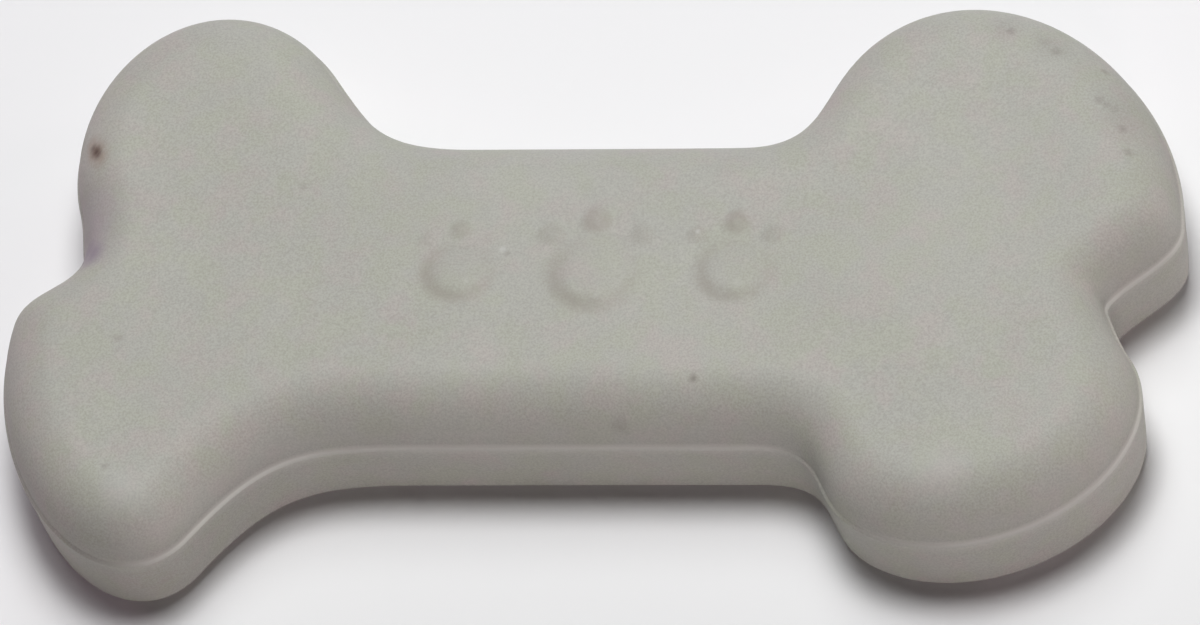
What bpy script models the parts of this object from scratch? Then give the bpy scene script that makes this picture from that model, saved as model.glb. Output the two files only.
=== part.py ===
"""Bone-shaped dog biscuit, one moulded piece lying flat. Metres, +Z up.

The origin is the middle of the base. +X runs along the bone, towards the end with the wide notch,
and +Y the way that the toes of the paw prints point.

The outline is four lobes, each part of an ellipse, joined by soft corners to two straight shaft edges
and by a notch at each end. Copies of that outline, drawn in or out by a little and set one above the
other, make the bevelled foot, the tapered side band, the parting ledge and the round shoulder. Three
raised paw prints stand on the flat top, and a few small pits are sunk in it.
"""
import math

import bmesh
import bpy
from mathutils import Matrix, Vector

MM = 0.001

# Heights and insets of the side, in millimetres.
LEDGE_HEIGHT = 6.3
SHOULDER_HEIGHT = 4.6
SHOULDER_REACH = 4.1
LEDGE_WIDTH = 0.25
BASE_TAPER = 0.35
BEVEL_HEIGHT = 1.2
BEVEL_REACH = 1.3
TOP_HEIGHT = LEDGE_HEIGHT + SHOULDER_HEIGHT

# Each lobe: centre, half sizes, tilt of its long side, and the first and last angle of the arc that shows.
LOBES = {
    "near_right": {"centre": (27.2, -11.05), "half": (11.3, 8.65), "tilt": 24.3, "arc": (-143, 8)},
    "far_right": {"centre": (27.0, 6.5), "half": (12.4, 15.5), "tilt": 25, "arc": (-28.4, 104)},
    "far_left": {"centre": (-27.1, 10.2), "half": (9.6, 11.0), "tilt": -6, "arc": (44, 206)},
    "near_left": {"centre": (-32.0, -9.45), "half": (7.5, 12.5), "tilt": 16.2, "arc": (141, 295.5)},
}
# The straight edges of the shaft, from the end on the left to the end on the right.
NEAR_EDGE = {"left": -10.7, "right": 11.9, "side": -12.6}
FAR_EDGE = {"left": -8.7, "right": 9.8, "side": 10.55}
# Each end notch is a small hollow arc: its deepest point, its radius, and the directions it is entered and left in.
RIGHT_NOTCH = {"place": (35.25, -1.7), "radius": 0.8, "headings": (116, 50)}
LEFT_NOTCH = {"place": (-35.5, 2.3), "radius": 3.0, "headings": (-80, -94)}

# How far the corner curve after each piece reaches along its two end directions, as a share of the gap it bridges.
CORNER_PULLS = {
    "near_edge": 0.56,
    "near_right": 0.30,
    "right_notch": 0.32,
    "far_right": 0.48,
    "far_edge": 0.48,
    "far_left": 0.40,
    "left_notch": 0.40,
    "near_left": 0.48,
}
LOBE_STEPS = 40
CORNER_STEPS = 12
NOTCH_STEPS = 4
OUTLINE_POINTS = 200
SHOULDER_STEPS = 8
# How often the inset directions are averaged with their neighbours, so that inner rings never fold over.
DIRECTION_PASSES = 14

# Raised paw prints: the pad, then its toes from left to right, as place on the pad's own axes and half sizes.
PAWS = (
    {"middle": (-8.45, -1.2), "pad": (2.2, 1.9), "toes": (((-2.2, 2.6), 0.55, 0.5), ((0.0, 3.25), 0.65, 0.65))},
    {"middle": (0.8, -1.3), "pad": (2.9, 2.75), "toes": (((-3.05, 3.1), 0.95, 0.8),
                                                          ((0.0, 4.3), 1.1, 1.15),
                                                          ((3.15, 3.05), 0.9, 0.8))},
    {"middle": (10.4, -1.2), "pad": (2.4, 2.15), "toes": (((-2.65, 2.9), 0.75, 0.65),
                                                           ((0.0, 3.9), 0.9, 0.95),
                                                           ((2.55, 2.9), 0.75, 0.65))},
)
PAD_RELIEF = 0.35
TOE_RELIEF = 0.3
RELIEF_SINK = 0.25
RELIEF_SEGMENTS = 24
TOE_SEGMENTS = 16

# Small pits left by bubbles and knocks: place, half width, depth, and how far below the flat top the surface is.
PITS = (
    ((-34.5, 8.9), 0.45, 0.5, 0.65),
    ((-5.15, 0.25), 0.25, 0.15, 0.0),
    ((31.0, 16.1), 0.35, 0.2, 0.2),
    ((35.5, 11.4), 0.4, 0.2, 0.42),
)
PIT_SEGMENTS = 12

BISCUIT_COLOUR = (0.40, 0.40, 0.36, 1.0)
BISCUIT_ROUGHNESS = 0.7


def clear_scene():
    for item in list(bpy.data.objects):
        bpy.data.objects.remove(item, do_unlink=True)


def make_collection(name):
    collection = bpy.data.collections.new(name)
    bpy.context.scene.collection.children.link(collection)
    return collection


def lobe_arc(lobe):
    """Points of the ellipse arc that shows, counterclockwise."""
    first, last = (math.radians(angle) for angle in lobe["arc"])
    turn = Matrix.Rotation(math.radians(lobe["tilt"]), 2)
    points = []
    for step in range(LOBE_STEPS + 1):
        angle = first + (last - first) * step / LOBE_STEPS
        offset = Vector((lobe["half"][0] * math.cos(angle), lobe["half"][1] * math.sin(angle)))
        points.append(Vector(lobe["centre"]) + turn @ offset)
    return points


def corner(start, start_heading, end, end_heading, pull):
    """Points between two ends, on the cubic curve that leaves and meets them in the given directions."""
    reach = (end - start).length * pull
    first = start + start_heading.normalized() * reach
    second = end - end_heading.normalized() * reach
    points = []
    for step in range(1, CORNER_STEPS + 1):
        t = step / (CORNER_STEPS + 1)
        s = 1.0 - t
        points.append(start * s ** 3 + first * 3 * s * s * t + second * 3 * s * t * t + end * t ** 3)
    return points


def notch_arc(notch):
    """Points of the hollow arc, walked clockwise from its first heading to its last."""
    first, last = (math.radians(angle) for angle in notch["headings"])
    deepest = (first + last) / 2
    centre = Vector(notch["place"]) + Vector((math.sin(deepest), -math.cos(deepest))) * notch["radius"]
    points = []
    for step in range(NOTCH_STEPS + 1):
        heading = first + (last - first) * step / NOTCH_STEPS
        points.append(centre + Vector((-math.sin(heading), math.cos(heading))) * notch["radius"])
    return points


def bone_outline():
    """The whole outline, counterclockwise from the left end of the near shaft edge, centred on the origin."""
    pieces = {
        "near_edge": [Vector((NEAR_EDGE[end], NEAR_EDGE["side"])) for end in ("left", "right")],
        "near_right": lobe_arc(LOBES["near_right"]),
        "right_notch": notch_arc(RIGHT_NOTCH),
        "far_right": lobe_arc(LOBES["far_right"]),
        "far_edge": [Vector((FAR_EDGE[end], FAR_EDGE["side"])) for end in ("right", "left")],
        "far_left": lobe_arc(LOBES["far_left"]),
        "left_notch": notch_arc(LEFT_NOTCH),
        "near_left": lobe_arc(LOBES["near_left"]),
    }
    names = list(pieces)
    outline = []
    for name, next_name in zip(names, names[1:] + names[:1]):
        points, following = pieces[name], pieces[next_name]
        outline += points
        heading_out, next_heading = points[-1] - points[-2], following[1] - following[0]
        outline += corner(points[-1], heading_out, following[0], next_heading, CORNER_PULLS[name])
    outline = evenly_spaced(outline, OUTLINE_POINTS)
    across = [point.x for point in outline]
    along = [point.y for point in outline]
    middle = Vector((max(across) + min(across), max(along) + min(along))) / 2
    return [point - middle for point in outline]


def evenly_spaced(outline, count):
    """The closed outline walked in equal steps."""
    closed = outline + outline[:1]
    travelled = [0.0]
    for before, after in zip(closed, closed[1:]):
        travelled.append(travelled[-1] + (after - before).length)
    points = []
    index = 0
    for step in range(count):
        distance = travelled[-1] * step / count
        while travelled[index + 1] < distance:
            index += 1
        share = (distance - travelled[index]) / (travelled[index + 1] - travelled[index])
        points.append(closed[index].lerp(closed[index + 1], share))
    return points


def outward_directions(outline):
    """Outward direction at each point, averaged with its neighbours' a few times."""
    count = len(outline)
    directions = []
    for index in range(count):
        heading = outline[(index + 1) % count] - outline[index - 1]
        directions.append(Vector((heading.y, -heading.x)).normalized())
    for _ in range(DIRECTION_PASSES):
        directions = [
            (directions[index - 1] + directions[index] * 2 + directions[(index + 1) % count]).normalized()
            for index in range(count)
        ]
    return directions


def side_profile():
    """Inset and height of every ring, from the base to the rim of the flat top."""
    rings = [
        (BASE_TAPER + BEVEL_REACH, 0.0),
        (BASE_TAPER, BEVEL_HEIGHT),
        (0.0, LEDGE_HEIGHT),
        (LEDGE_WIDTH, LEDGE_HEIGHT),
    ]
    for step in range(1, SHOULDER_STEPS + 1):
        angle = math.pi / 2 * step / SHOULDER_STEPS
        inset = LEDGE_WIDTH + SHOULDER_REACH * (1 - math.cos(angle))
        rings.append((inset, LEDGE_HEIGHT + SHOULDER_HEIGHT * math.sin(angle)))
    return rings


def add_body(collection):
    """Loft of the outline through the side profile, closed by a flat base and a flat top."""
    outline = bone_outline()
    directions = outward_directions(outline)
    mesh = bmesh.new()
    rings = []
    for inset, height in side_profile():
        ring = []
        for point, outward in zip(outline, directions):
            place = (point - outward * inset) * MM
            ring.append(mesh.verts.new((place.x, place.y, height * MM)))
        rings.append(ring)
    for lower, upper in zip(rings, rings[1:]):
        for index in range(len(lower)):
            after = (index + 1) % len(lower)
            mesh.faces.new((lower[index], lower[after], upper[after], upper[index]))
    mesh.faces.new(list(reversed(rings[0])))
    mesh.faces.new(rings[-1])
    return add_object("biscuit", mesh, collection)


def add_object(name, mesh, collection):
    data = bpy.data.meshes.new(name)
    mesh.to_mesh(data)
    mesh.free()
    item = bpy.data.objects.new(name, data)
    collection.objects.link(item)
    return item


def add_mound(name, place, half_width, half_length, relief, segments, collection):
    """Flattened ball sunk in the top, so that a low dome of the given relief stands out."""
    mesh = bmesh.new()
    bmesh.ops.create_uvsphere(mesh, u_segments=segments, v_segments=segments // 2, radius=1.0)
    spread = 1.0 / math.sqrt(1.0 - (RELIEF_SINK / (relief + RELIEF_SINK)) ** 2)
    size = (half_width * spread, half_length * spread, relief + RELIEF_SINK)
    bmesh.ops.scale(mesh, vec=Vector(size) * MM, verts=mesh.verts)
    middle = Vector((place[0], place[1], TOP_HEIGHT - RELIEF_SINK)) * MM
    bmesh.ops.translate(mesh, vec=middle, verts=mesh.verts)
    return add_object(name, mesh, collection)


def add_paw_relief(collection):
    for number, paw in enumerate(PAWS):
        middle = Vector(paw["middle"])
        add_mound(f"pad_{number}", middle, *paw["pad"], PAD_RELIEF, RELIEF_SEGMENTS, collection)
        for toe, (place, half_width, half_length) in enumerate(paw["toes"]):
            name = f"toe_{number}_{toe}"
            add_mound(name, middle + Vector(place), half_width, half_length, TOE_RELIEF, TOE_SEGMENTS, collection)


def add_pit_cutters(collection):
    for number, (place, half_width, depth, drop) in enumerate(PITS):
        mesh = bmesh.new()
        bmesh.ops.create_uvsphere(mesh, u_segments=PIT_SEGMENTS, v_segments=PIT_SEGMENTS // 2, radius=1.0)
        bmesh.ops.scale(mesh, vec=Vector((half_width, half_width, depth)) * MM, verts=mesh.verts)
        bmesh.ops.translate(mesh, vec=Vector((*place, TOP_HEIGHT - drop)) * MM, verts=mesh.verts)
        cutter = add_object(f"pit_{number}", mesh, collection)
        cutter.hide_render = True
        cutter.display_type = "WIRE"


def combine(body, collection, operation):
    """Boolean of the body with everything in a collection, applied to the body's mesh."""
    modifier = body.modifiers.new(operation.lower(), "BOOLEAN")
    modifier.operand_type = "COLLECTION"
    modifier.collection = collection
    modifier.operation = operation
    modifier.solver = "EXACT"
    depsgraph = bpy.context.evaluated_depsgraph_get()
    result = bpy.data.meshes.new_from_object(body.evaluated_get(depsgraph))
    body.modifiers.remove(modifier)
    body.data = result
    for item in list(collection.objects):
        bpy.data.objects.remove(item, do_unlink=True)
    bpy.data.collections.remove(collection)


def biscuit_material():
    material = bpy.data.materials.new("baked_biscuit")
    material.use_nodes = True
    shader = material.node_tree.nodes["Principled BSDF"]
    shader.inputs["Base Color"].default_value = BISCUIT_COLOUR
    shader.inputs["Roughness"].default_value = BISCUIT_ROUGHNESS
    shader.inputs["Metallic"].default_value = 0.0
    return material


def build():
    clear_scene()
    biscuit_parts = make_collection("dog_biscuit")
    body = add_body(biscuit_parts)
    relief = make_collection("paw_relief")
    add_paw_relief(relief)
    combine(body, relief, "UNION")
    pits = make_collection("pit_cutters")
    add_pit_cutters(pits)
    combine(body, pits, "DIFFERENCE")
    body.data.materials.clear()
    body.data.materials.append(biscuit_material())
    body.data.shade_smooth()
    body.data.set_sharp_from_angle(angle=math.radians(30))


build()
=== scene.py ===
import math

import bmesh
import bpy
import numpy as np
from mathutils import Matrix, Vector


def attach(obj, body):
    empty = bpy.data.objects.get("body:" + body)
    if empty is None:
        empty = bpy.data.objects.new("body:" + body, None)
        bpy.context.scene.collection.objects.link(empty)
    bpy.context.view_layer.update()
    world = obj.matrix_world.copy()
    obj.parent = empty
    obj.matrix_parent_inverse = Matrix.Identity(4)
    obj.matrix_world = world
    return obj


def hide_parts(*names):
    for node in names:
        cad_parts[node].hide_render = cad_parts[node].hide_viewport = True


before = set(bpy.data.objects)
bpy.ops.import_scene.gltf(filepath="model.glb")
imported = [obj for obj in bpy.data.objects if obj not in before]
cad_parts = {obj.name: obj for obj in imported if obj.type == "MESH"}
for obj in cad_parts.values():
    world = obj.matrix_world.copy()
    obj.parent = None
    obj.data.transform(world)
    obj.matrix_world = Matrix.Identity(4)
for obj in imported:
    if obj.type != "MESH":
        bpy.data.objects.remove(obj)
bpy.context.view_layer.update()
mm = 0.001
tiny = 0.000001          # keeps a division from meeting nothing

# Plan of the bone, in millimetres, counterclockwise. Each lobe is part of an ellipse: centre, half sizes,
# tilt, first and last angle. A notch is a small hollow arc. pull is the reach of the corner curve after a
# piece, as a share of the gap that the curve bridges.
boneOutline = {
    "nearEdge": {"left": -10.7, "right": 11.9, "side": -12.6, "pull": 0.56},
    "nearRight": {"centre": (27.2, -11.05), "half": (11.3, 8.65), "tilt": 24.3, "arc": (-143, 8),
                  "pull": 0.30},
    "rightNotch": {"place": (35.25, -1.7), "radius": 0.8, "headings": (116, 50), "pull": 0.32},
    "farRight": {"centre": (27.0, 6.5), "half": (12.4, 15.5), "tilt": 25, "arc": (-28.4, 104),
                 "pull": 0.48},
    "farEdge": {"left": -8.7, "right": 9.8, "side": 10.55, "pull": 0.48},
    "farLeft": {"centre": (-27.1, 10.2), "half": (9.6, 11.0), "tilt": -6, "arc": (44, 206),
                "pull": 0.40},
    "leftNotch": {"place": (-35.5, 2.3), "radius": 3.0, "headings": (-80, -94), "pull": 0.40},
    "nearLeft": {"centre": (-32.0, -9.45), "half": (7.5, 12.5), "tilt": 16.2, "arc": (141, 295.5),
                 "pull": 0.48},
    "cadPoints": 200,             # the solid's outline is walked in this many equal steps
    "cadDirectionPasses": 14,
    "edgePoints": 40,
    "lobePoints": 160,
    "notchPoints": 12,
    "pullPoints": 40,
    "walkSteps": 4000,
}

# Side profile and mesh density, in millimetres and counts.
biscuitForm = {
    "ledgeHeight": 6.3,
    "ledgeEdge": 0.10,            # radius of the ledge's outer edge
    "ledgeSlope": 0.17,           # length of its sloping top
    "ledgeLean": 45.0,            # and how far that leans in from upright, in degrees
    "ledgeHollow": 0.25,          # radius of the hollow where the shoulder rises from it
    "highlightHeight": 6.42,            # the ledge gets a painted highlight about this height,
    "highlightHalf": 0.34,
    "highlightWay": (0.62, -0.78),      # most where it faces this way in plan,
    "highlightFacing": (0.15, 0.85),    # from this share of facing, and fully after this much more
    "highlightSpread": (7.7, 1.7, 0.2),  # height, half height and strength of a fainter painted highlight on the shoulder
    "shoulderHeight": 4.6,
    "shoulderReach": 4.1,
    "shoulderSteps": 22,
    "baseTaper": 0.35,
    "bevelHeight": 1.2,           # the foot is cut back below the band
    "bevelReach": 1.3,
    "bevelRound": 0.15,
    "endPoints": 90,              # outline points round each half of an end, from its notch
    "sidePoints": 250,            # outline points along each side, between the two ends
    "middleEnd": 26.0,            # the middle line that the top closes on runs this far each way
    "middleBend": -3.5,           # and ends this far across, at the wide notch
    "topSteps": 60,
    "baseSteps": 6,
    "bandSteps": 6,
    "bevelSteps": 4,
    "roundSteps": 6,
    "hollowEnd": 0.06,            # radians short of level where the hollow meets the shoulder
    "unevenness": 0.0175,         # half height of the slow waves of the top
    "waveAcross": (0.21, 0.6),    # radians per millimetre, and where the wave starts
    "waveAlong": (0.27, -0.4),
    "waveAslant": (0.13, -0.31, 1.9),
    "aslantShare": 0.6,
    "mergeWithin": 0.002,
    "dropBelow": 0.0005,
}

# Raised paw prints, in millimetres: middle of each pad or toe, half sizes, height and strength of its
# darkening (on the pads, a ring of painted shade).
pawPrints = {
    "pads": (
        {"middle": (-8.4, -1.2), "half": (2.7, 2.5), "height": 0.29, "dark": 0.6},
        {"middle": (0.9, -1.4), "half": (3.35, 3.15), "height": 0.32, "dark": 0.52},
        {"middle": (10.5, -1.15), "half": (2.9, 2.65), "height": 0.30, "dark": 0.52},
    ),
    "toes": (
        {"middle": (-10.7, 1.35), "half": (0.8, 0.75), "height": 0.12, "dark": 0.2},
        {"middle": (-8.45, 2.1), "half": (0.95, 1.0), "height": 0.2, "dark": 0.42},
        {"middle": (-6.35, 1.45), "half": (0.7, 0.65), "height": 0.06, "dark": 0.06},
        {"middle": (-2.2, 1.7), "half": (1.3, 1.1), "height": 0.26, "dark": 0.3},
        {"middle": (0.8, 2.8), "half": (1.35, 1.45), "height": 0.3, "dark": 0.55},
        {"middle": (4.0, 1.65), "half": (1.15, 1.15), "height": 0.26, "dark": 0.28},
        {"middle": (7.8, 1.6), "half": (1.0, 0.9), "height": 0.2, "dark": 0.28},
        {"middle": (10.35, 2.6), "half": (1.15, 1.3), "height": 0.28, "dark": 0.6},
        {"middle": (12.95, 1.65), "half": (1.0, 0.95), "height": 0.2, "dark": 0.32},
    ),
    "nearWay": (-0.55, -0.83),    # plan direction of the side where the pads stand out crisply
    "nearRim": 1.6,               # width of a pad's slope there; it widens to half the pad on the far side
    "rimGrowth": 0.6,
    "padLean": 0.35,              # share of a pad's height that is lost on its far side
    "toeLean": -0.5,              # toes lose theirs on the near side
    "toePoint": 0.35,             # share by which a toe narrows to its far end
    "toeDarkening": (1.05, 0.65),      # reach of a toe's darkening as a share of the toe, and how wide its edge fades
    "padShadeRing": (0.8, 0.36),       # reach and half width of a pad's ring of painted shade, as shares of the pad
    "padShadeRingShare": (0.62, 0.38),  # its strength, and how much more or less the near and far sides have
    "padTint": (0.1, 0.3),        # strength of a faint darkening all over a pad, and how wide its edge fades
}

# Small pits, in millimetres: place, half width and depth.
biscuitPits = (
    {"middle": (-34.55, 8.9), "half": 0.42, "depth": 0.2},
    {"middle": (-5.15, 0.25), "half": 0.22, "depth": 0.05},
    {"middle": (31.0, 16.1), "half": 0.3, "depth": 0.12},
    {"middle": (35.55, 11.45), "half": 0.35, "depth": 0.12},
)


def arcPoints(lobe, count):
    # centre plus the tilted vector (half width times cosine, half length times sine) of evenly spaced angles
    first, last = np.radians(lobe["arc"])
    angle = np.linspace(first, last, count)
    tilt = math.radians(lobe["tilt"])
    across = lobe["half"][0] * np.cos(angle)
    along = lobe["half"][1] * np.sin(angle)
    x = lobe["centre"][0] + across * math.cos(tilt) - along * math.sin(tilt)
    y = lobe["centre"][1] + across * math.sin(tilt) + along * math.cos(tilt)
    return np.stack([x, y], axis=1)


def cornerPoints(start, startHeading, end, endHeading, pull, count):
    # cubic curve from start to end that leaves and arrives in the two headings, without its ends
    reach = np.linalg.norm(end - start) * pull
    first = start + startHeading / np.linalg.norm(startHeading) * reach
    second = end - endHeading / np.linalg.norm(endHeading) * reach
    t = np.linspace(0, 1, count + 2)[1:-1, None]
    return (1 - t) ** 3 * start + 3 * t * (1 - t) ** 2 * first + 3 * t * t * (1 - t) * second + t ** 3 * end


def notchPoints(notch, count):
    # centre plus the radius times the leftward normal of a heading that turns clockwise from first to last
    first, last = np.radians(notch["headings"])
    heading = np.linspace(first, last, count)
    deepest = (first + last) / 2
    centre = np.array(notch["place"]) + notch["radius"] * np.array([math.sin(deepest), -math.cos(deepest)])
    return centre + notch["radius"] * np.stack([-np.sin(heading), np.cos(heading)], axis=1)


def bonePlan(plan):
    # the pieces of the outline in turn, each followed by its corner curve to the next, centred on the origin
    def straight(edge, first, last):
        return np.linspace((edge[first], edge["side"]), (edge[last], edge["side"]), plan["edgePoints"])

    pieces = {
        "nearEdge": straight(plan["nearEdge"], "left", "right"),
        "nearRight": arcPoints(plan["nearRight"], plan["lobePoints"]),
        "rightNotch": notchPoints(plan["rightNotch"], plan["notchPoints"]),
        "farRight": arcPoints(plan["farRight"], plan["lobePoints"]),
        "farEdge": straight(plan["farEdge"], "right", "left"),
        "farLeft": arcPoints(plan["farLeft"], plan["lobePoints"]),
        "leftNotch": notchPoints(plan["leftNotch"], plan["notchPoints"]),
        "nearLeft": arcPoints(plan["nearLeft"], plan["lobePoints"]),
    }
    names = list(pieces)
    points = []
    for name, nextName in zip(names, names[1:] + names[:1]):
        piece, following = pieces[name], pieces[nextName]
        points.append(piece)
        points.append(cornerPoints(piece[-1], piece[-1] - piece[-2], following[0],
                                   following[1] - following[0], plan[name]["pull"], plan["pullPoints"]))
    outline = np.concatenate(points)
    return outline - (outline.max(axis=0) + outline.min(axis=0)) / 2


def travelled(points):
    # distance walked along the closed outline up to each point, with the whole length last
    steps = np.linalg.norm(np.roll(points, -1, axis=0) - points, axis=1)
    return np.concatenate([[0.0], np.cumsum(steps)])


def walkTo(points, distance):
    # places at the given distances along the closed outline
    along = travelled(points)
    closed = np.concatenate([points, points[:1]])
    distance = np.mod(distance, along[-1])
    return np.stack([np.interp(distance, along, closed[:, axis]) for axis in (0, 1)], axis=1)


def smoothDirections(points, passes):
    # outward direction at each point, averaged with its neighbours' again and again
    heading = np.roll(points, -1, axis=0) - np.roll(points, 1, axis=0)
    outward = np.stack([heading[:, 1], -heading[:, 0]], axis=1)
    outward /= np.linalg.norm(outward, axis=1)[:, None]
    for _ in range(passes):
        outward = np.roll(outward, 1, axis=0) + 2 * outward + np.roll(outward, -1, axis=0)
        outward /= np.linalg.norm(outward, axis=1)[:, None]
    return outward


def directionsAt(plan, outline, distance):
    # the solid's inset directions, read between its outline points at the given distances
    length = travelled(outline)[-1]
    coarse = np.linspace(0, length, plan["cadPoints"], endpoint=False)
    outward = smoothDirections(walkTo(outline, coarse), plan["cadDirectionPasses"])
    closedAt = np.append(coarse, length)
    closed = np.concatenate([outward, outward[:1]])
    wrapped = np.mod(distance, length)
    found = np.stack([np.interp(wrapped, closedAt, closed[:, axis]) for axis in (0, 1)], axis=1)
    return found / np.linalg.norm(found, axis=1)[:, None]


def matchedRims(plan, form):
    # outline points from notch to notch, first along the far side and then back along the near side, and
    # where each one's line over the top meets the middle line: a side's points meet it straight across, in
    # the same even steps on both sides, and an end's points all meet its end
    outline = bonePlan(plan)
    along = travelled(outline)
    length = along[-1]
    rightNotch = along[np.argmin(np.linalg.norm(outline - plan["rightNotch"]["place"], axis=1))]
    leftNotch = along[np.argmin(np.linalg.norm(outline - plan["leftNotch"]["place"], axis=1))]
    reach, ends = form["middleEnd"], form["endPoints"]
    steps = np.linspace(reach, -reach, form["sidePoints"])

    def oneSide(first, last):
        # distances from the first notch to the last one, for x falling from one end of the bone to the other
        walk = np.linspace(first, last, plan["walkSteps"])
        x = walkTo(outline, walk)[:, 0]
        side = np.abs(x) <= reach
        rising = np.maximum.accumulate(-x[side]) + np.linspace(0, 0.001, side.sum())
        middle = np.interp(-steps, rising, walk[side])
        return np.concatenate([np.linspace(first, middle[0], ends, endpoint=False), middle,
                               np.linspace(middle[-1], last, ends + 1)[1:]])

    far = oneSide(rightNotch, leftNotch)
    near = oneSide(rightNotch, leftNotch - length)[::-1]
    distance = np.concatenate([far[:-1], near[:-1]])
    meeting = np.concatenate([np.full(ends, reach), steps, np.full(ends, -reach)])
    meeting = np.concatenate([meeting[:-1], meeting[::-1][:-1]])
    bend = form["middleBend"] * np.clip(meeting / reach, 0, 1) ** 2
    middle = np.stack([meeting, bend], axis=1)
    return walkTo(outline, distance), directionsAt(plan, outline, distance), middle


def sideProfile(form):
    # inset and height of each ring: bevelled foot with a rounded edge, tapered band, ledge that turns in
    # over a round edge, slopes and turns up again through a hollow, and a quarter-ellipse shoulder
    def ring(inset, height):
        return np.stack(np.broadcast_arrays(inset, height), axis=1).astype(float)

    taper, foot, rise, turn = form["baseTaper"], form["bevelReach"], form["bevelHeight"], form["bevelRound"]
    edge, hollow, top = form["ledgeEdge"], form["ledgeHollow"], form["ledgeHeight"]
    quarter = np.linspace(0, math.pi / 2, form["roundSteps"])
    soft = np.linspace(0, 1, form["bevelSteps"], endpoint=False)
    share = np.linspace(0, 1, form["bandSteps"] + 1)[1:]
    lean = math.radians(form["ledgeLean"])
    over = np.linspace(0, lean, form["roundSteps"])[1:]
    back = np.linspace(lean, form["hollowEnd"], form["roundSteps"])
    slopeInset = edge * (1 - math.cos(lean)) + form["ledgeSlope"] * math.sin(lean)
    slopeHeight = top - edge * (1 - math.sin(lean)) + form["ledgeSlope"] * math.cos(lean)
    hollowRings = ring(slopeInset + hollow * (np.cos(back) - math.cos(lean)),
                       slopeHeight + hollow * (math.sin(lean) - np.sin(back)))
    inset, height = hollowRings[-1]
    start = math.asin((height - top) / form["shoulderHeight"])
    angle = np.linspace(start, math.pi / 2, form["shoulderSteps"])[1:]
    base = inset - form["shoulderReach"] * (1 - math.cos(start))
    return np.concatenate([
        ring(taper + foot - (foot - turn) * soft, (rise - turn * rise / foot) * soft),
        ring(taper + turn * (1 - np.sin(quarter)), rise - turn * rise / foot * np.cos(quarter)),
        ring(taper * (1 - share), rise + (top - edge - rise) * share),
        ring(edge * (1 - np.cos(over)), top - edge * (1 - np.sin(over))),
        hollowRings,
        ring(base + form["shoulderReach"] * (1 - np.cos(angle)),
             top + form["shoulderHeight"] * np.sin(angle)),
    ])


def ellipseReach(x, y, item, narrowing):
    # across, along and straight distance from the middle, as shares of the ellipse's own half sizes, with
    # the ellipse narrowing towards its far end
    alongShare = (y - item["middle"][1]) / item["half"][1]
    width = item["half"][0] * (1 - narrowing * np.clip(alongShare, -1, 1))
    acrossShare = (x - item["middle"][0]) / width
    return acrossShare, alongShare, np.hypot(acrossShare, alongShare)


def mound(x, y, item, lean, narrowing):
    # height share of a low dome: a smooth step inwards from its ellipse, narrow on the near side and as wide
    # as half the dome on the far side, times a tilt that takes the share lean off one side
    acrossShare, alongShare, reach = ellipseReach(x, y, item, narrowing)
    near = pawPrints["nearWay"]
    nearness = np.clip(acrossShare * near[0] + alongShare * near[1], -1, 1)
    facing = nearness / np.maximum(reach, tiny)
    radius = min(item["half"])
    narrowed = min(pawPrints["nearRim"], radius) - radius
    rim = radius + narrowed * (0.5 + 0.5 * facing) ** pawPrints["rimGrowth"]
    t = np.clip((1 - reach) * radius / rim, 0, 1)
    tilt = 1 - abs(lean) * (0.5 - 0.5 * nearness * np.sign(lean))
    return t * t * (3 - 2 * t) * tilt


def topRelief(x, y):
    # height of the paw prints above the plateau less the depth of the pits, in millimetres
    height = np.zeros_like(x)
    for pad in pawPrints["pads"]:
        height += pad["height"] * mound(x, y, pad, pawPrints["padLean"], 0.0)
    for toe in pawPrints["toes"]:
        height += toe["height"] * mound(x, y, toe, pawPrints["toeLean"], pawPrints["toePoint"])
    for pit in biscuitPits:
        reach = np.hypot(x - pit["middle"][0], y - pit["middle"][1]) / pit["half"]
        height -= pit["depth"] * np.clip(1 - reach * reach, 0, 1) ** 1.5
    return height


def gentleWaves(x, y, form):
    # slow unevenness of the top: a wave across times one along, plus a share of a slanting wave
    across, along, aslant = form["waveAcross"], form["waveAlong"], form["waveAslant"]
    crossed = np.sin(x * across[0] + across[1]) * np.cos(y * along[0] + along[1])
    slanted = np.sin(x * aslant[0] + y * aslant[1] + aslant[2])
    return form["unevenness"] * (crossed + form["aslantShare"] * slanted)


def pawDarkAndPaintedShadeMask(x, y):
    # mask of the darkening on the paws: full inside each toe's ellipse and falling smoothly to none past its
    # rim, a soft ring of painted shade inside each pad's ellipse that is strongest on the near side, and a
    # faint darker tint all over it
    pawDarkAndPaintedShade = np.zeros_like(x)
    darkReach, darkFade = pawPrints["toeDarkening"]
    for toe in pawPrints["toes"]:
        reach = ellipseReach(x, y, toe, pawPrints["toePoint"])[2]
        t = np.clip((darkReach - reach) / darkFade, 0, 1)
        pawDarkAndPaintedShade = np.maximum(pawDarkAndPaintedShade, toe["dark"] * t * t * (3 - 2 * t))
    near = pawPrints["nearWay"]
    ringReach, ringHalf = pawPrints["padShadeRing"]
    strength, sway = pawPrints["padShadeRingShare"]
    tint, tintFade = pawPrints["padTint"]
    for pad in pawPrints["pads"]:
        acrossShare, alongShare, reach = ellipseReach(x, y, pad, 0.0)
        facing = (acrossShare * near[0] + alongShare * near[1]) / np.maximum(reach, tiny)
        ring = np.clip(1 - np.abs(reach - ringReach) / ringHalf, 0, 1)
        ring = ring * ring * (3 - 2 * ring) * (strength + sway * facing)
        pawDarkAndPaintedShade = np.maximum(pawDarkAndPaintedShade, pad["dark"] * ring)
        pawDarkAndPaintedShade = np.maximum(pawDarkAndPaintedShade, tint * np.clip((1 - reach) / tintFade, 0, 1))
    return pawDarkAndPaintedShade


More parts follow.
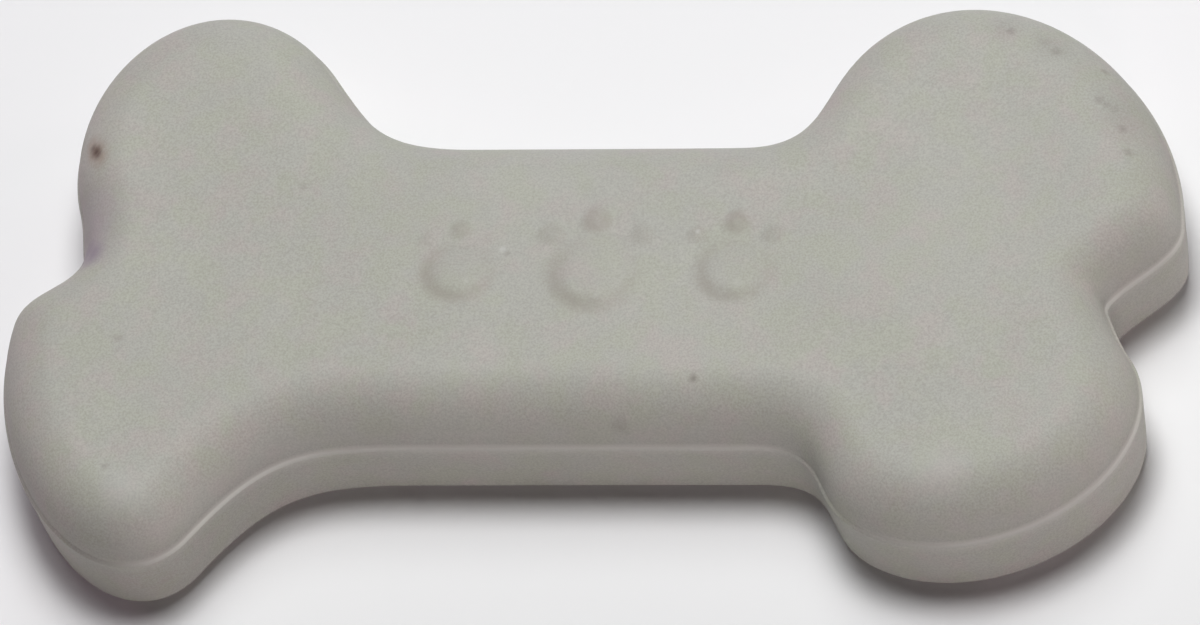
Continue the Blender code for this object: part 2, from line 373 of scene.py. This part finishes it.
def paintedSeamHighlight(grid, form):
    # mask of the painted highlight on the ledge: a smooth bump of height about its slope, or a wider and
    # fainter one above it, times a smooth step of how far the outline there faces the highlighted way
    heading = np.roll(grid[..., :2], -1, axis=1) - np.roll(grid[..., :2], 1, axis=1)
    length = np.maximum(np.linalg.norm(heading, axis=2), tiny)
    facing = (heading[..., 1] * form["highlightWay"][0] - heading[..., 0] * form["highlightWay"][1]) / length
    band = np.clip(1 - np.abs(grid[..., 2] - form["highlightHeight"]) / form["highlightHalf"], 0, 1)
    turned = np.clip((facing - form["highlightFacing"][0]) / form["highlightFacing"][1], 0, 1)
    height, half, strength = form["highlightSpread"]
    spread = strength * np.clip(1 - np.abs(grid[..., 2] - height) / half, 0, 1)
    return np.maximum(band * band * (3 - 2 * band), spread) * turned * turned * (3 - 2 * turned)


def biscuitSurface(plan, form):
    # rings of the outline drawn in along its directions and raised by the profile, with the top and the base
    # drawn in to the middle line; relief is added to the height of the upper rings
    rim, outward, middle = matchedRims(plan, form)
    profile = sideProfile(form)
    side = rim[None] - outward[None] * profile[:, 0][:, None, None]
    sideHeight = np.repeat(profile[:, 1][:, None], len(rim), axis=1)
    topShare = np.linspace(0, 1, form["topSteps"] + 1)[1:]
    top = side[-1][None] + (middle - side[-1])[None] * topShare[:, None, None]
    topHeight = np.full(top.shape[:2], profile[-1, 1])
    baseShare = np.linspace(1, 0, form["baseSteps"], endpoint=False)
    base = side[0][None] + (middle - side[0])[None] * baseShare[:, None, None]
    baseHeight = np.zeros(base.shape[:2])
    flat = np.concatenate([base, side, top])
    height = np.concatenate([baseHeight, sideHeight, topHeight])
    x, y = flat[..., 0], flat[..., 1]
    upper = np.clip((height - form["ledgeHeight"]) / form["shoulderHeight"], 0, 1)
    height = height + topRelief(x, y) * upper ** 4 + gentleWaves(x, y, form) * upper
    return np.stack([x, y, height], axis=2)


def gridFaces(rings, around):
    # quads between neighbouring rings, closed around: each point, the next one round, and the two above
    ring, step = np.meshgrid(np.arange(rings - 1), np.arange(around), indexing="ij")
    after = (step + 1) % around
    return np.stack([ring * around + step, ring * around + after, (ring + 1) * around + after,
                     (ring + 1) * around + step], axis=-1).reshape(-1, 4)


def meshFromGrid(name, points, faces):
    # the grid's points in one row, joined by the faces
    mesh = bpy.data.meshes.new(name)
    mesh.from_pydata(points.reshape(-1, 3).tolist(), [], faces.tolist())
    mesh.validate()
    return mesh


def makeBiscuit():
    # the surface's rings in metres, joined by quads, with the masks of the paws' darkening and painted shade
    # and of the ledge's painted highlight kept on its points
    grid = biscuitSurface(boneOutline, biscuitForm)
    rings, around = grid.shape[:2]
    flatGrid = grid.reshape(-1, 3) * mm
    mesh = meshFromGrid("biscuitSurface", flatGrid, gridFaces(rings, around))
    x, y, z = grid.reshape(-1, 3).T
    masks = {
        "pawDarkAndPaintedShade": np.where(z > biscuitForm["ledgeHeight"], pawDarkAndPaintedShadeMask(x, y), 0),
        "seamHighlight": paintedSeamHighlight(grid, biscuitForm).ravel(),
    }
    for name, values in masks.items():
        layer = mesh.attributes.new(name, "FLOAT", "POINT")
        layer.data.foreach_set("value", values.astype(np.float32))
    biscuit = bpy.data.objects.new("biscuitSurface", mesh)
    bpy.context.scene.collection.objects.link(biscuit)
    closeMiddle(mesh, biscuitForm)
    mesh.shade_smooth()
    print("biscuit surface:", len(mesh.vertices), "points")
    return biscuit


def closeMiddle(mesh, form):
    # merges the points of the two sides that meet on the middle line
    work = bmesh.new()
    work.from_mesh(mesh)
    bmesh.ops.remove_doubles(work, verts=work.verts, dist=form["mergeWithin"] * mm)
    bmesh.ops.dissolve_degenerate(work, edges=work.edges, dist=form["dropBelow"] * mm)
    bmesh.ops.recalc_face_normals(work, faces=work.faces)
    print("open edges:", sum(len(edge.link_faces) != 2 for edge in work.edges))
    work.to_mesh(mesh)
    work.free()


# Baked surface: colours in linear light, places and sizes in millimetres.
bakedSurface = {
    "cream": (0.362, 0.362, 0.322),
    "pinkish": (0.378, 0.356, 0.324),
    "yellowish": (0.358, 0.364, 0.306),
    "mottleScale": 0.42,          # noise cells per millimetre
    "mottleRange": (0.42, 0.68),  # noise values where a second colour starts and is full
    "patchScale": 0.11,
    "patchShade": (0.975, 1.02),  # brightness of the darkest and palest patch
    "grainScale": 7.0,
    "grainRange": (0.2, 0.8),
    "grainShare": 0.13,           # brightness lost and gained in the grain
    "grainRelief": 0.006,
    "noiseRange": (0.3, 0.7),     # lowest and highest value that the noise is stretched from
    "fineDetail": 3.0,
    "coarseDetail": 2.0,
    "aside": (37.0, 11.0, 5.0),   # shift that gives a second, unlike noise
    "pawDarkScale": 1.6,
    "pawDarkShare": (0.75, 1.15),    # share of the paws' darkening that shows at its weakest and strongest
    # colour of the paws' darkening, the painted shade on the pads' near rims included
    "pawDarkAndPaintedShade": (0.276, 0.255, 0.214),
    # colour of the dark marks, also used for the painted shade on the near lobes' bands
    "marksAndPaintedShade": (0.17, 0.145, 0.125),
    # colour of a pale chip and of the painted highlights and sheen
    "chipAndPaintedHighlight": (0.50, 0.50, 0.47),
    "burntHalo": (0.265, 0.203, 0.148),
    "burntCore": (0.085, 0.055, 0.038),
    # colour of the painted shade in the left notch
    "notchShade": (0.22, 0.185, 0.225),
    # pale colour of the painted highlight along the ledge
    "seamHighlight": (0.545, 0.542, 0.495),
    "roughness": (0.62, 0.68),
    "roughnessScale": 1.2,
    "wander": 0.35,               # how far a spot's outline wanders
    "wanderScale": 1.9,
}

# Spots on the surface: place, half width, and how strongly the colour shows.
surfaceSpots = {
    "marksAndPaintedShade": (
        # dark marks along the rim of the far right lobe
        ((27.82, 17.71, 10.81), 0.6, 0.45),
        ((27.3, 17.9, 10.8), 1.6, 0.16),
        ((30.26, 16.86, 10.7), 1.2, 0.2),
        ((31.0, 16.11, 10.69), 0.85, 0.38),
        ((30.6, 16.5, 10.7), 2.0, 0.12),
        ((34.29, 15.05, 9.72), 0.5, 0.4),
        ((34.22, 12.17, 10.82), 0.6, 0.38),
        ((34.78, 11.87, 10.73), 0.6, 0.4),
        ((35.3, 11.6, 10.5), 0.9, 0.26),
        ((35.98, 9.98, 10.63), 0.7, 0.45),
        ((36.53, 8.09, 10.68), 0.6, 0.38),
        ((35.9, 10.9, 10.2), 3.4, 0.15),
        # painted shade darkening the near lobes' bands
        ((-31.0, -21.2, 3.0), 9.0, 0.28),
        ((22.5, -20.8, 2.0), 8.0, 0.12),
        # specks on the near shoulder and the lobes
        ((8.38, -9.48, 10.69), 0.5, 0.6),
        ((3.27, -11.73, 8.36), 1.1, 0.25),
        ((-31.0, -16.43, 10.9), 0.5, 0.3),
        ((-31.23, -6.33, 10.9), 0.5, 0.3),
        ((-19.73, 5.56, 10.9), 0.5, 0.25),
        ((-5.17, 0.22, 10.85), 0.34, 0.3),
    ),
    "chipAndPaintedHighlight": (
        # a pale chip, and painted highlights on the paws
        ((-5.5, 0.55, 10.9), 0.45, 0.6),
        ((7.79, 1.81, 11.06), 0.3, 0.6),
        ((-7.69, -2.0, 11.2), 0.4, 0.3),
        ((1.32, -3.25, 11.25), 0.5, 0.25),
        ((10.83, -2.27, 11.25), 0.5, 0.3),
        # painted sheen on the near lobes, and painted light over the far half
        ((-29.8, -18.2, 10.85), 3.0, 0.2),
        ((25.65, -16.7, 10.85), 3.0, 0.18),
        ((0.0, 6.0, 10.9), 17.0, 0.08),
        ((26.0, 8.0, 10.9), 13.0, 0.06),
    ),
    "notchShade": (
        # painted shade: dark at the bottom of the notch, and a wide faint painted shade above it
        ((-34.0, 0.95, 9.8), 1.9, 0.85),
        ((-34.45, 1.5, 9.1), 2.2, 0.8),
        ((-34.6, 3.4, 9.0), 5.2, 0.4),
    ),
    "burntHalo": (
        ((-34.3, 8.37, 10.45), 1.25, 0.6),
        ((-34.58, 8.99, 10.03), 1.4, 0.75),
        ((-34.86, 9.61, 9.61), 1.25, 0.6),
    ),
    "burntCore": (
        ((-34.44, 8.68, 10.23), 0.62, 0.9),
        ((-34.58, 8.99, 10.03), 0.7, 1.0),
        ((-34.72, 9.3, 9.83), 0.62, 0.9),
    ),
}


def addNode(tree, kind, inputs, **settings):
    # a node with its settings, and with each named input set to a value or linked to another node's output
    node = tree.nodes.new(kind)
    for name, value in settings.items():
        setattr(node, name, value)
    for name, value in inputs.items():
        if isinstance(value, bpy.types.NodeSocket):
            tree.links.new(value, node.inputs[name])
        else:
            node.inputs[name].default_value = value
    return node


def blend(tree, share, first, second):
    # first times one less the share, plus second times the share
    node = addNode(tree, "ShaderNodeMix", {0: share, 6: first, 7: second}, data_type="RGBA")
    return node.outputs[2]


def spotGroup():
    # one at a spot's middle, falling smoothly to none at the half width, times its strength
    group = bpy.data.node_groups.new("surfaceSpot", "ShaderNodeTree")
    for name, kind in (("Place", "Vector"), ("Middle", "Vector"), ("Half", "Float"), ("Strength", "Float")):
        group.interface.new_socket(name, in_out="INPUT", socket_type="NodeSocket" + kind)
    group.interface.new_socket("Mask", in_out="OUTPUT", socket_type="NodeSocketFloat")
    given = group.nodes.new("NodeGroupInput").outputs
    reach = addNode(group, "ShaderNodeVectorMath", {0: given["Place"], 1: given["Middle"]},
                    operation="DISTANCE")
    mask = addNode(group, "ShaderNodeMapRange", {"Value": reach.outputs["Value"], "From Min": given["Half"],
                                                 "From Max": 0.0, "To Max": given["Strength"]},
                   interpolation_type="SMOOTHSTEP")
    leaving = group.nodes.new("NodeGroupOutput")
    group.links.new(mask.outputs["Result"], leaving.inputs["Mask"])
    return group


def spotMask(tree, group, place, spots):
    # the largest of the masks of several spots
    mask = None
    for middle, half, strength in spots:
        spot = addNode(tree, "ShaderNodeGroup", {}, node_tree=group)
        tree.links.new(place, spot.inputs["Place"])
        spot.inputs["Middle"].default_value = middle
        spot.inputs["Half"].default_value = half
        spot.inputs["Strength"].default_value = strength
        if mask is None:
            mask = spot.outputs["Mask"]
        else:
            mask = addNode(tree, "ShaderNodeMath", {0: mask, 1: spot.outputs["Mask"]},
                           operation="MAXIMUM").outputs[0]
    return mask


def bakedMaterial(look, spots):
    # cream mottled with pink and yellow, times the brightness of the grain and of wide patches, then blended
    # with the darkening and painted shade on the paws, the painted highlight along the ledge and each group
    # of spots
    material = bpy.data.materials.new("bakedBiscuit")
    material.use_nodes = True
    tree = material.node_tree
    shader = tree.nodes["Principled BSDF"]
    fine, coarse = look["fineDetail"], look["coarseDetail"]

    def noise(place, scale, detail, output="Fac"):
        node = addNode(tree, "ShaderNodeTexNoise", {"Vector": place, "Scale": scale, "Detail": detail})
        return node.outputs[output]

    def ramp(value, source, result=(0.0, 1.0)):
        # a smooth step from the first to the second value of the result as the value crosses the source
        inputs = {"Value": value, "From Min": source[0], "From Max": source[1],
                  "To Min": result[0], "To Max": result[1]}
        node = addNode(tree, "ShaderNodeMapRange", inputs, interpolation_type="SMOOTHSTEP")
        return node.outputs["Result"]

    def vector(operation, inputs):
        return addNode(tree, "ShaderNodeVectorMath", inputs, operation=operation).outputs[0]

    def product(first, second, clamped=False):
        node = addNode(tree, "ShaderNodeMath", {0: first, 1: second}, operation="MULTIPLY",
                       use_clamp=clamped)
        return node.outputs[0]

    def solid(name):
        return (*look[name], 1.0)

    def stored(name):
        return addNode(tree, "ShaderNodeAttribute", {}, attribute_name=name).outputs["Fac"]

    metres = addNode(tree, "ShaderNodeTexCoord", {}).outputs["Object"]
    place = vector("SCALE", {0: metres, "Scale": 1 / mm})
    aside = vector("ADD", {0: place, 1: look["aside"]})
    pinker = ramp(noise(place, look["mottleScale"], fine), look["mottleRange"])
    yellower = ramp(noise(aside, look["mottleScale"], fine), look["mottleRange"])
    colour = blend(tree, pinker, solid("cream"), solid("pinkish"))
    colour = blend(tree, yellower, colour, solid("yellowish"))
    patch = ramp(noise(aside, look["patchScale"], coarse), look["noiseRange"], look["patchShade"])
    grain = noise(place, look["grainScale"], fine)
    shade = ramp(grain, look["grainRange"], (1 - look["grainShare"], 1 + look["grainShare"]))
    colour = vector("SCALE", {0: colour, "Scale": product(shade, patch)})

    uneven = ramp(noise(place, look["pawDarkScale"], coarse), look["noiseRange"], look["pawDarkShare"])
    # the paws darkened: toes darker, and painted shade in a ring strongest on each pad's near side
    colour = blend(tree, product(stored("pawDarkAndPaintedShade"), uneven, True), colour, solid("pawDarkAndPaintedShade"))
    # painted highlight along the ledge, and fainter on the shoulder above it
    colour = blend(tree, stored("seamHighlight"), colour, solid("seamHighlight"))

    # spots are looked up at a place that wanders a little, so that their outlines aren't round
    shift = vector("SUBTRACT", {0: noise(place, look["wanderScale"], fine, "Color"), 1: (0.5, 0.5, 0.5)})
    shift = vector("SCALE", {0: shift, "Scale": look["wander"]})
    wandered = vector("ADD", {0: place, 1: shift})
    group = spotGroup()
    for name, members in spots.items():
        colour = blend(tree, spotMask(tree, group, wandered, members), colour, solid(name))
    tree.links.new(colour, shader.inputs["Base Color"])

    rough = ramp(noise(place, look["roughnessScale"], fine), look["noiseRange"], look["roughness"])
    tree.links.new(rough, shader.inputs["Roughness"])
    relief = addNode(tree, "ShaderNodeBump", {"Height": grain, "Strength": 1.0,
                                              "Distance": look["grainRelief"] * mm})
    tree.links.new(relief.outputs["Normal"], shader.inputs["Normal"])
    print("material: bakedBiscuit with", sum(len(members) for members in spots.values()), "spots")
    return material


# Floor: width in metres, colour in linear light.
paleFloor = {
    "width": 6.0,
    "colour": (0.82, 0.82, 0.82),
    "roughness": 0.9,
}


def makeFloor(look):
    # one level square at height none, far wider than the view
    bpy.ops.mesh.primitive_plane_add(size=look["width"], location=(0, 0, 0))
    floor = bpy.context.object
    floor.name = "floor"
    material = bpy.data.materials.new("paleFloor")
    material.use_nodes = True
    shader = material.node_tree.nodes["Principled BSDF"]
    shader.inputs["Base Color"].default_value = (*look["colour"], 1)
    shader.inputs["Roughness"].default_value = look["roughness"]
    floor.data.materials.append(material)
    print("floor laid")


# Light from all round, very faint.
softRoom = {
    "colour": (0.9, 0.88, 0.88),
    "strength": 0.01,
}

# Soft lamps, all aimed at the origin: way round and height in degrees, reach and disk width in metres,
# watts, colour.
studioLamps = {
    "rightKey": (60, 80, 0.4, 0.17, 0.806, (1.0, 0.99, 1.0)),
    "backKey": (90, 65, 0.4, 0.2, 0.487, (0.98, 1.0, 1.0)),
    "leftKey": (120, 80, 0.7, 0.3, 1.05, (0.97, 0.99, 1.0)),
    "backFill": (49.5, 25, 0.7, 0.3, 0.24, (0.75, 1.0, 0.88)),
    "frontFill": (-66, 8, 0.7, 0.14, 1.24, (1.0, 0.845, 0.90)),
    "leftBackFill": (157, 10, 0.7, 0.2, 0.75, (1.0, 0.64, 0.86)),
    "rightFill": (19.5, 8, 0.7, 0.14, 0.74, (1.0, 0.78, 0.82)),
    "lowBackFill": (95.0, 8, 0.7, 0.14, 0.25, (0.5, 0.5, 1.0)),
}


def makeLights(room, lamps):
    # each lamp stands at its reach times the unit vector of its two angles
    world = bpy.data.worlds.new("softRoom")
    bpy.context.scene.world = world
    world.use_nodes = True
    background = world.node_tree.nodes["Background"]
    background.inputs["Color"].default_value = (*room["colour"], 1)
    background.inputs["Strength"].default_value = room["strength"]
    for name, (turn, height, reach, width, power, colour) in lamps.items():
        light = bpy.data.lights.new(name, "AREA")
        light.shape = "DISK"
        light.size = width
        light.energy = power
        light.color = colour
        turn, height = math.radians(turn), math.radians(height)
        level = math.cos(height)
        place = Vector((math.cos(turn) * level, math.sin(turn) * level, math.sin(height)))
        lamp = bpy.data.objects.new(name, light)
        lamp.location = place * reach
        lamp.rotation_euler = (-place).to_track_quat("-Z", "Y").to_euler()
        bpy.context.scene.collection.objects.link(lamp)
    bpy.context.scene.view_settings.view_transform = "Standard"
    print("lamps:", len(lamps))


# The view of the photograph.
cameraView = {
    "imageSize": (1200, 625),     # pixels
    "target": (-0.44, 1.4, 1.2),  # millimetres
    "turn": 0.341,                # radians about the vertical
    "height": 1.0,                # radians above the horizon
    "roll": -0.294,
    "distance": 882.0,            # millimetres
    "pixelsPerMm": 14.72,
    "sensorWidth": 36.0,          # millimetres
    "farthest": 20.0,             # metres
}


def makeCamera(view):
    # stands at the target plus distance times the unit vector of its turn and height, rolled about its axis
    turn, height, roll = view["turn"], view["height"], view["roll"]
    back = Vector((math.sin(turn) * math.cos(height), -math.cos(turn) * math.cos(height), math.sin(height)))
    level = Vector((math.cos(turn), math.sin(turn), 0))
    upright = back.cross(level)
    right = level * math.cos(roll) + upright * math.sin(roll)
    up = upright * math.cos(roll) - level * math.sin(roll)
    place = (Vector(view["target"]) + back * view["distance"]) * mm
    data = bpy.data.cameras.new("photoView")
    data.sensor_width = view["sensorWidth"]
    data.lens = view["pixelsPerMm"] * view["distance"] / view["imageSize"][0] * data.sensor_width
    data.clip_end = view["farthest"]
    camera = bpy.data.objects.new("photoView", data)
    camera.matrix_world = Matrix.Translation(place) @ Matrix((right, up, back)).transposed().to_4x4()
    bpy.context.scene.collection.objects.link(camera)
    bpy.context.scene.camera = camera
    print("camera set")


makeCamera(cameraView)
makeLights(softRoom, studioLamps)
makeFloor(paleFloor)
biscuit = makeBiscuit()
biscuit.data.materials.append(bakedMaterial(bakedSurface, surfaceSpots))
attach(biscuit, "root")
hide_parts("biscuit")
